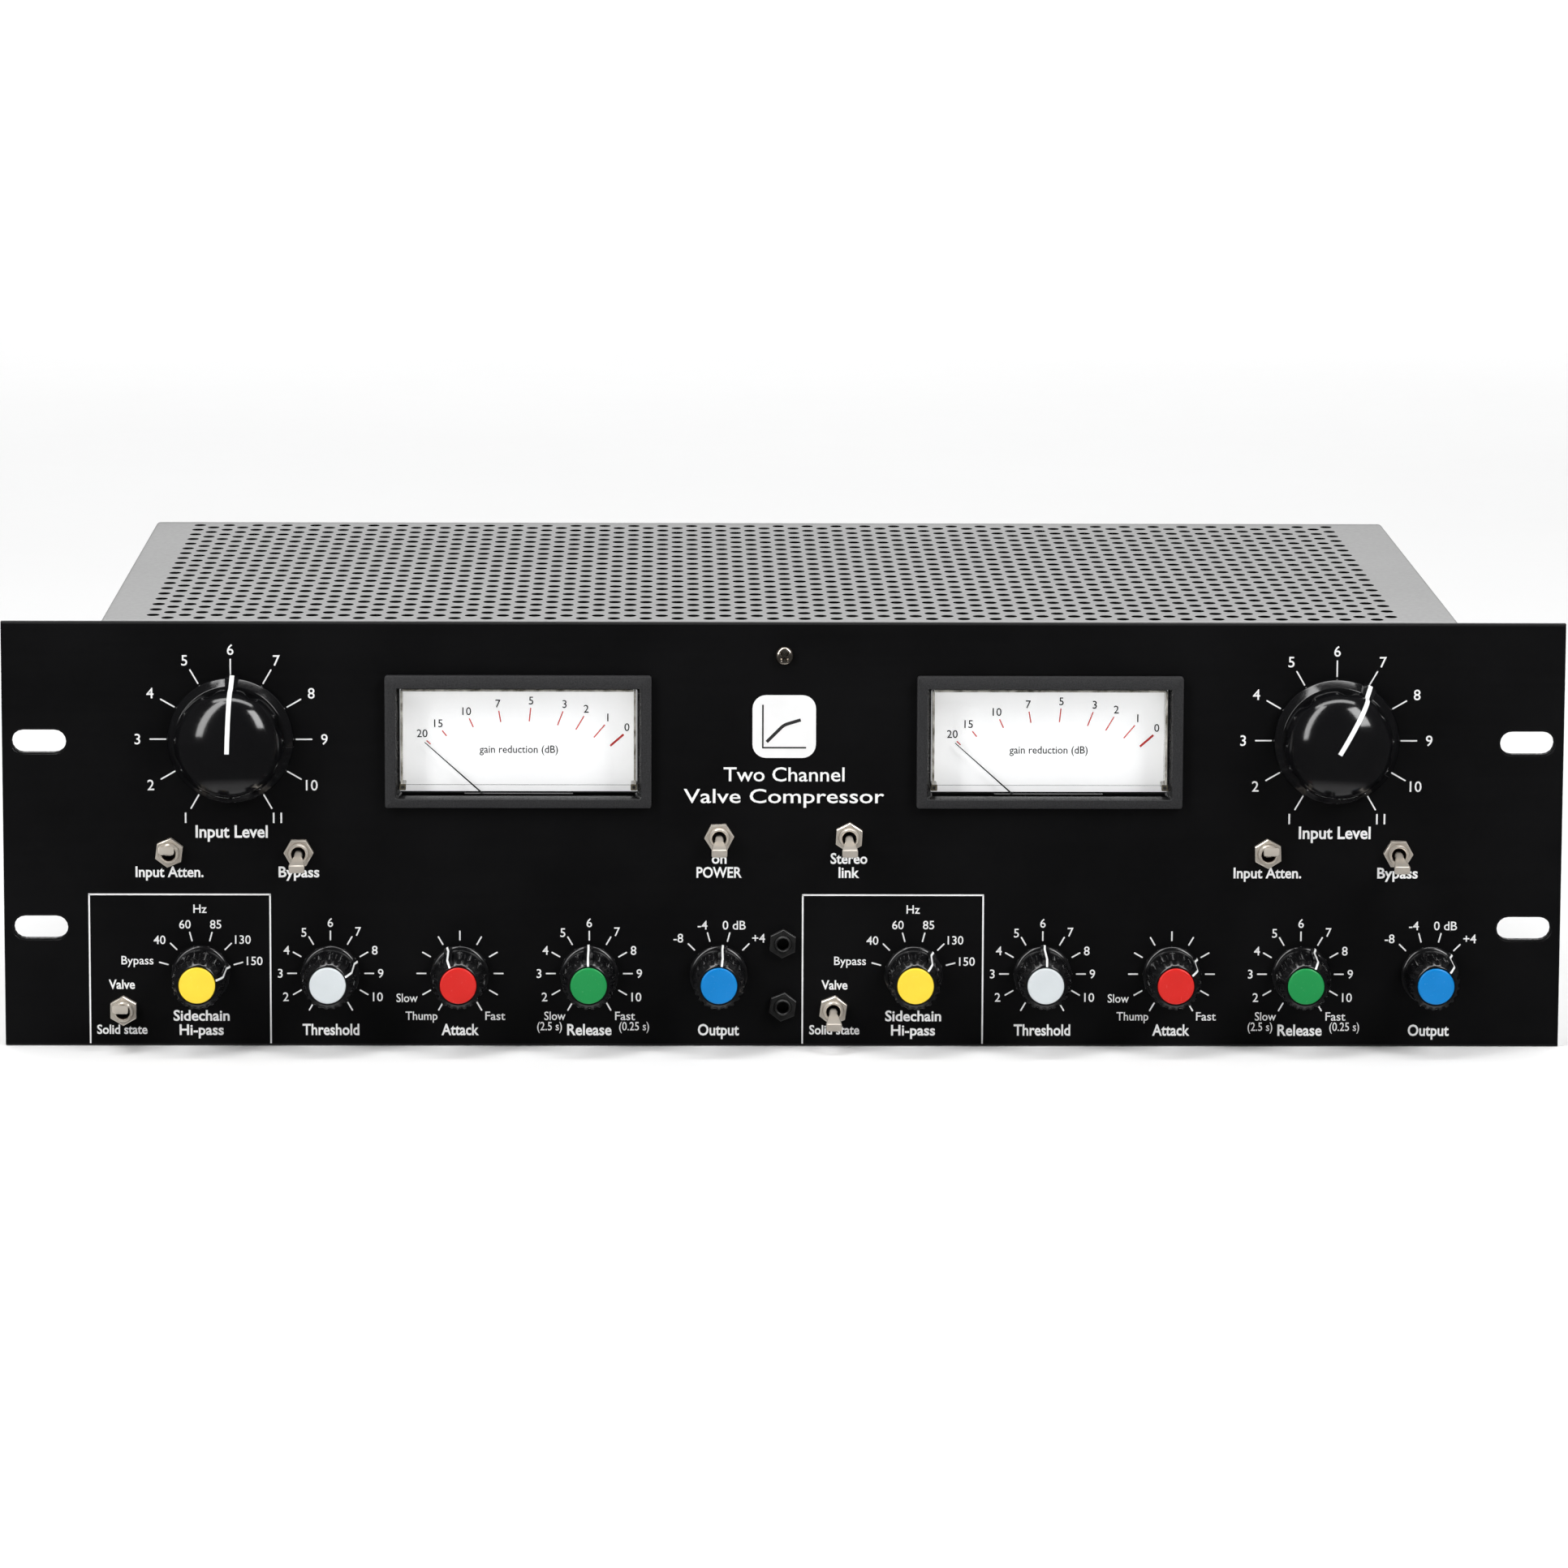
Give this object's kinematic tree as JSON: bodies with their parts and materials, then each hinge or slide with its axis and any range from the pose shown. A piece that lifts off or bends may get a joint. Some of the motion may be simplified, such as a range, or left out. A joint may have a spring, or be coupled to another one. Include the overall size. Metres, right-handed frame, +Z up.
{
  "type": "rack compressor",
  "caption": "Rack-mounted two-channel valve compressor with gain-reduction meters, turning knobs, toggle switches and a perforated steel cover.",
  "frame": {"origin": "middle of the bounding box's underside, which is the level of the front panel's lower edge", "axes": "+X to the right seen from the front, +Y from the front panel towards the rear, +Z up"},
  "size_m": [0.4826, 0.29, 0.1325],
  "materials": {
    "panel_black": "black anodised, fine brushed grain",
    "case_grey": "satin grey coated steel",
    "knob_black": "polished black moulding",
    "meter_plastic": "fine moulded texture",
    "case_plastic": "plain moulding",
    "clear_plastic": "clear moulding",
    "dial_white": "printed matt white",
    "needle_black": "painted matt black",
    "nickel": "bright nickel with a warm tint",
    "socket_black": "black moulding",
    "board_green": "solder-resist green",
    "control_metal": "bright pressed metal",
    "valve_glass": "clear blown glass",
    "transformer_wrap": "film-wrapped winding",
    "screw_dark": "dark nickel"
  },
  "bodies": {
    "unit": {"front_panel": "panel_black", "front_screw": "screw_dark", "chassis_tray": "case_grey", "top_cover": "case_grey", "rear_panel": "case_grey", "meter_bezel_left": "meter_plastic", "meter_case_left": "case_plastic", "meter_glass_left": "clear_plastic", "meter_dial_left": "dial_white", "input_pot_left": "control_metal", "control_board_left": "board_green", "valve_left": "valve_glass", "xlr_input_left": "socket_black", "xlr_output_left": "socket_black", "meter_bezel_right": "meter_plastic", "meter_case_right": "case_plastic", "meter_glass_right": "clear_plastic", "meter_dial_right": "dial_white", "input_pot_right": "control_metal", "control_board_right": "board_green", "valve_right": "valve_glass", "xlr_input_right": "socket_black", "xlr_output_right": "socket_black", "input_atten_left_switch": "nickel", "bypass_left_switch": "nickel", "valve_mode_left_switch": "nickel", "power_switch": "nickel", "stereo_link_switch": "nickel", "input_atten_right_switch": "nickel", "bypass_right_switch": "nickel", "valve_mode_right_switch": "nickel", "jack_upper": "socket_black", "jack_lower": "socket_black", "main_board": "board_green", "mains_transformer": "transformer_wrap", "mains_inlet": "socket_black", "fuse_holder": "socket_black"},
    "input_knob_left": {"input_knob_left": "knob_black"},
    "input_knob_right": {"input_knob_right": "knob_black"},
    "sidechain_knob_left": {"sidechain_knob_left": "knob_black"},
    "threshold_knob_left": {"threshold_knob_left": "knob_black"},
    "attack_knob_left": {"attack_knob_left": "knob_black"},
    "release_knob_left": {"release_knob_left": "knob_black"},
    "output_knob_left": {"output_knob_left": "knob_black"},
    "sidechain_knob_right": {"sidechain_knob_right": "knob_black"},
    "threshold_knob_right": {"threshold_knob_right": "knob_black"},
    "attack_knob_right": {"attack_knob_right": "knob_black"},
    "release_knob_right": {"release_knob_right": "knob_black"},
    "output_knob_right": {"output_knob_right": "knob_black"},
    "input_atten_left_lever": {"input_atten_left_lever": "nickel"},
    "bypass_left_lever": {"bypass_left_lever": "nickel"},
    "valve_mode_left_lever": {"valve_mode_left_lever": "nickel"},
    "power_lever": {"power_lever": "nickel"},
    "stereo_link_lever": {"stereo_link_lever": "nickel"},
    "input_atten_right_lever": {"input_atten_right_lever": "nickel"},
    "bypass_right_lever": {"bypass_right_lever": "nickel"},
    "valve_mode_right_lever": {"valve_mode_right_lever": "nickel"},
    "meter_needle_left": {"meter_needle_left": "needle_black"},
    "meter_needle_right": {"meter_needle_right": "needle_black"}
  },
  "joints": [
    {"name": "input_level_turn_left", "type": "hinge", "parent": "unit", "child": "input_knob_left", "pos_m": [-0.1707, -0.123, 0.0961], "axis": [0, 1, 0], "range_deg": [-152, 148]},
    {"name": "input_level_turn_right", "type": "hinge", "parent": "unit", "child": "input_knob_right", "pos_m": [0.1707, -0.123, 0.0961], "axis": [0, 1, 0], "range_deg": [-180, 120]},
    {"name": "sidechain_turn_left", "type": "hinge", "parent": "unit", "child": "sidechain_knob_left", "pos_m": [-0.1805, -0.123, 0.0227], "axis": [0, 1, 0], "range_deg": [-150, 0]},
    {"name": "threshold_turn_left", "type": "hinge", "parent": "unit", "child": "threshold_knob_left", "pos_m": [-0.1404, -0.123, 0.0227], "axis": [0, 1, 0], "range_deg": [-214, 86]},
    {"name": "attack_turn_left", "type": "hinge", "parent": "unit", "child": "attack_knob_left", "pos_m": [-0.1003, -0.123, 0.0227], "axis": [0, 1, 0], "range_deg": [-125.5, 174.5]},
    {"name": "release_turn_left", "type": "hinge", "parent": "unit", "child": "release_knob_left", "pos_m": [-0.0602, -0.123, 0.0227], "axis": [0, 1, 0], "range_deg": [-148.5, 151.5]},
    {"name": "output_turn_left", "type": "hinge", "parent": "unit", "child": "output_knob_left", "pos_m": [-0.0201, -0.123, 0.0227], "axis": [0, 1, 0], "range_deg": [-53, 37]},
    {"name": "sidechain_turn_right", "type": "hinge", "parent": "unit", "child": "sidechain_knob_right", "pos_m": [0.0404, -0.123, 0.0227], "axis": [0, 1, 0], "range_deg": [-115, 35]},
    {"name": "threshold_turn_right", "type": "hinge", "parent": "unit", "child": "threshold_knob_right", "pos_m": [0.0805, -0.123, 0.0227], "axis": [0, 1, 0], "range_deg": [-153, 147]},
    {"name": "attack_turn_right", "type": "hinge", "parent": "unit", "child": "attack_knob_right", "pos_m": [0.1206, -0.123, 0.0227], "axis": [0, 1, 0], "range_deg": [-207, 93]},
    {"name": "release_turn_right", "type": "hinge", "parent": "unit", "child": "release_knob_right", "pos_m": [0.1607, -0.123, 0.0227], "axis": [0, 1, 0], "range_deg": [-178, 122]},
    {"name": "output_turn_right", "type": "hinge", "parent": "unit", "child": "output_knob_right", "pos_m": [0.2008, -0.123, 0.0227], "axis": [0, 1, 0], "range_deg": [-91, 0]},
    {"name": "input_atten_left_throw", "type": "hinge", "parent": "unit", "child": "input_atten_left_lever", "pos_m": [-0.19, -0.125, 0.0608], "axis": [1, 0, 0], "range_deg": [0, 25]},
    {"name": "bypass_left_throw", "type": "hinge", "parent": "unit", "child": "bypass_left_lever", "pos_m": [-0.15, -0.125, 0.0608], "axis": [1, 0, 0], "range_deg": [-25, 0]},
    {"name": "valve_mode_left_throw", "type": "hinge", "parent": "unit", "child": "valve_mode_left_lever", "pos_m": [-0.2046, -0.125, 0.0111], "axis": [1, 0, 0], "range_deg": [0, 25]},
    {"name": "power_throw", "type": "hinge", "parent": "unit", "child": "power_lever", "pos_m": [-0.02, -0.125, 0.0658], "axis": [1, 0, 0], "range_deg": [-25, 0]},
    {"name": "stereo_link_throw", "type": "hinge", "parent": "unit", "child": "stereo_link_lever", "pos_m": [0.0202, -0.125, 0.0658], "axis": [1, 0, 0], "range_deg": [-25, 0]},
    {"name": "input_atten_right_throw", "type": "hinge", "parent": "unit", "child": "input_atten_right_lever", "pos_m": [0.15, -0.125, 0.0608], "axis": [1, 0, 0], "range_deg": [0, 25]},
    {"name": "bypass_right_throw", "type": "hinge", "parent": "unit", "child": "bypass_right_lever", "pos_m": [0.1904, -0.125, 0.0608], "axis": [1, 0, 0], "range_deg": [-25, 0]},
    {"name": "valve_mode_right_throw", "type": "hinge", "parent": "unit", "child": "valve_mode_right_lever", "pos_m": [0.0155, -0.125, 0.0114], "axis": [1, 0, 0], "range_deg": [-25, 0]},
    {"name": "needle_swing_left", "type": "hinge", "parent": "unit", "child": "meter_needle_left", "pos_m": [-0.0821, -0.1177, 0.0684], "axis": [0, 1, 0], "range_deg": [0, 97], "stiffness_Nm_per_rad": 0.0005, "springref_deg": -11.46},
    {"name": "needle_swing_right", "type": "hinge", "parent": "unit", "child": "meter_needle_right", "pos_m": [0.0821, -0.1177, 0.0684], "axis": [0, 1, 0], "range_deg": [0, 97], "stiffness_Nm_per_rad": 0.0005, "springref_deg": -11.46}
  ]
}
